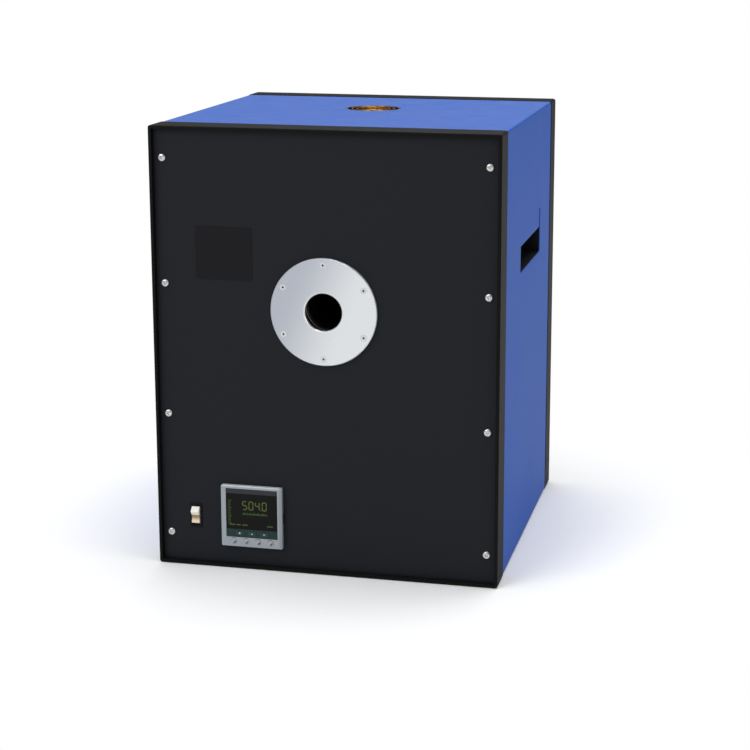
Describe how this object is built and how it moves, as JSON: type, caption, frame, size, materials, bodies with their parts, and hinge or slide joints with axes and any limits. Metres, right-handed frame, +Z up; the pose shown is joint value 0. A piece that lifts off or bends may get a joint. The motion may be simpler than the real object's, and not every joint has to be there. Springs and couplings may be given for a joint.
{
  "type": "blackbody calibration furnace",
  "caption": "Tall bench furnace cabinet with a round aperture plate over a closed-end hot cavity, panel controller, rocker switch, side hand-holds and a guarded roof fan.",
  "frame": {"origin": "middle of the base, centred on the cabinet's width and depth", "axes": "+Z up, +X to the right seen from the front, the aperture faces -Y"},
  "size_m": [0.524, 0.5326, 0.67],
  "materials": {
    "black_frame": "satin",
    "black_panel": "fine matt powder coat",
    "blank_plate": "matt black anodised",
    "blue_sheet": "satin powder coat",
    "black_moulding": "matt",
    "screw_steel": "bright plated",
    "stainless": "satin",
    "plated_steel": "zinc plated",
    "brushed_aluminium": "fine turned and bead blasted",
    "dark_liner": "oxidised",
    "cavity": "matt black, high emissivity",
    "fibre": "soft vacuum-formed fibre board",
    "holders": "matt",
    "elements": "grey glaze",
    "busbar": "mill finish",
    "probes": "matt sheath",
    "guard_wire": "yellow passivated steel wire",
    "bezel": "satin silver-grey",
    "black_case": "matt",
    "lens": "gloss window",
    "strip": "satin",
    "keys": "satin",
    "strip_keys": "satin",
    "ivory": "gloss",
    "core": "varnished laminations",
    "coil": "varnished wrap",
    "pins": "plated"
  },
  "bodies": {
    "cabinet": {"aperture_plate": "brushed_aluminium", "aperture_screws": "stainless", "base_pan": "plated_steel", "blank_plate": "blank_plate", "bus_bars": "busbar", "cavity_tube": "cavity", "chamber_shell": "plated_steel", "control_thermocouple": "probes", "controller_bezel": "bezel", "controller_case": "black_case", "controller_gasket": "black_case", "controller_latches": "black_case", "cover": "blue_sheet", "cover_screws": "screw_steel", "data_port": "black_case", "display_lens": "lens", "element_clamps": "busbar", "element_holders": "holders", "fan_frame": "black_moulding", "fan_screws": "screw_steel", "floor_insulation": "fibre", "front_frame": "black_frame", "front_insulation": "fibre", "front_panel": "black_panel", "front_panel_screws": "screw_steel", "handle_grips": "blue_sheet", "handle_pockets": "black_moulding", "heating_elements": "elements", "heatsink": "busbar", "inlet_pins": "pins", "inlet_screws": "screw_steel", "key_strip": "strip", "limit_thermocouple": "probes", "mains_terminals": "black_case", "power_inlet": "black_case", "power_module": "black_case", "rear_frame": "black_frame", "rear_insulation": "fibre", "rear_panel": "black_panel", "rear_panel_screws": "screw_steel", "roof_insulation": "fibre", "shell_legs": "plated_steel", "shell_lid": "plated_steel", "side_insulation": "fibre", "switch_body": "black_moulding", "throat_liner": "dark_liner", "throat_ring": "fibre", "tie_rails": "plated_steel", "transformer_coil": "coil", "transformer_core": "core", "vent_guard": "guard_wire"},
    "rocker": {"switch_rocker": "ivory"},
    "fan_wheel": {"fan_rotor": "black_moulding"},
    "page_button": {"page_key": "keys"},
    "scroll_button": {"scroll_key": "keys"},
    "lower_button": {"lower_key": "keys"},
    "raise_button": {"raise_key": "keys"},
    "mode_button": {"mode_key": "strip_keys"},
    "program_button": {"program_key": "strip_keys"},
    "run_button": {"run_key": "strip_keys"}
  },
  "joints": [
    {"name": "rocker_tilt", "type": "hinge", "parent": "cabinet", "child": "rocker", "pos_m": [-0.204, -0.2575, 0.0765], "axis": [1, 0, 0], "range_deg": [-28, 0]},
    {"name": "fan_spin", "type": "hinge", "parent": "cabinet", "child": "fan_wheel", "pos_m": [0, 0.05, 0.6555], "axis": [0, 0, 1], "continuous": true},
    {"name": "page_press", "type": "slide", "parent": "cabinet", "child": "page_button", "axis": [0, 1, 0], "range_m": [0, 0.0008], "stiffness_N_per_m": 400},
    {"name": "scroll_press", "type": "slide", "parent": "cabinet", "child": "scroll_button", "axis": [0, 1, 0], "range_m": [0, 0.0008], "stiffness_N_per_m": 400},
    {"name": "lower_press", "type": "slide", "parent": "cabinet", "child": "lower_button", "axis": [0, 1, 0], "range_m": [0, 0.0008], "stiffness_N_per_m": 400},
    {"name": "raise_press", "type": "slide", "parent": "cabinet", "child": "raise_button", "axis": [0, 1, 0], "range_m": [0, 0.0008], "stiffness_N_per_m": 400},
    {"name": "mode_press", "type": "slide", "parent": "cabinet", "child": "mode_button", "axis": [0, 1, 0], "range_m": [0, 0.0005], "stiffness_N_per_m": 400},
    {"name": "program_press", "type": "slide", "parent": "cabinet", "child": "program_button", "axis": [0, 1, 0], "range_m": [0, 0.0005], "stiffness_N_per_m": 400},
    {"name": "run_press", "type": "slide", "parent": "cabinet", "child": "run_button", "axis": [0, 1, 0], "range_m": [0, 0.0005], "stiffness_N_per_m": 400}
  ]
}
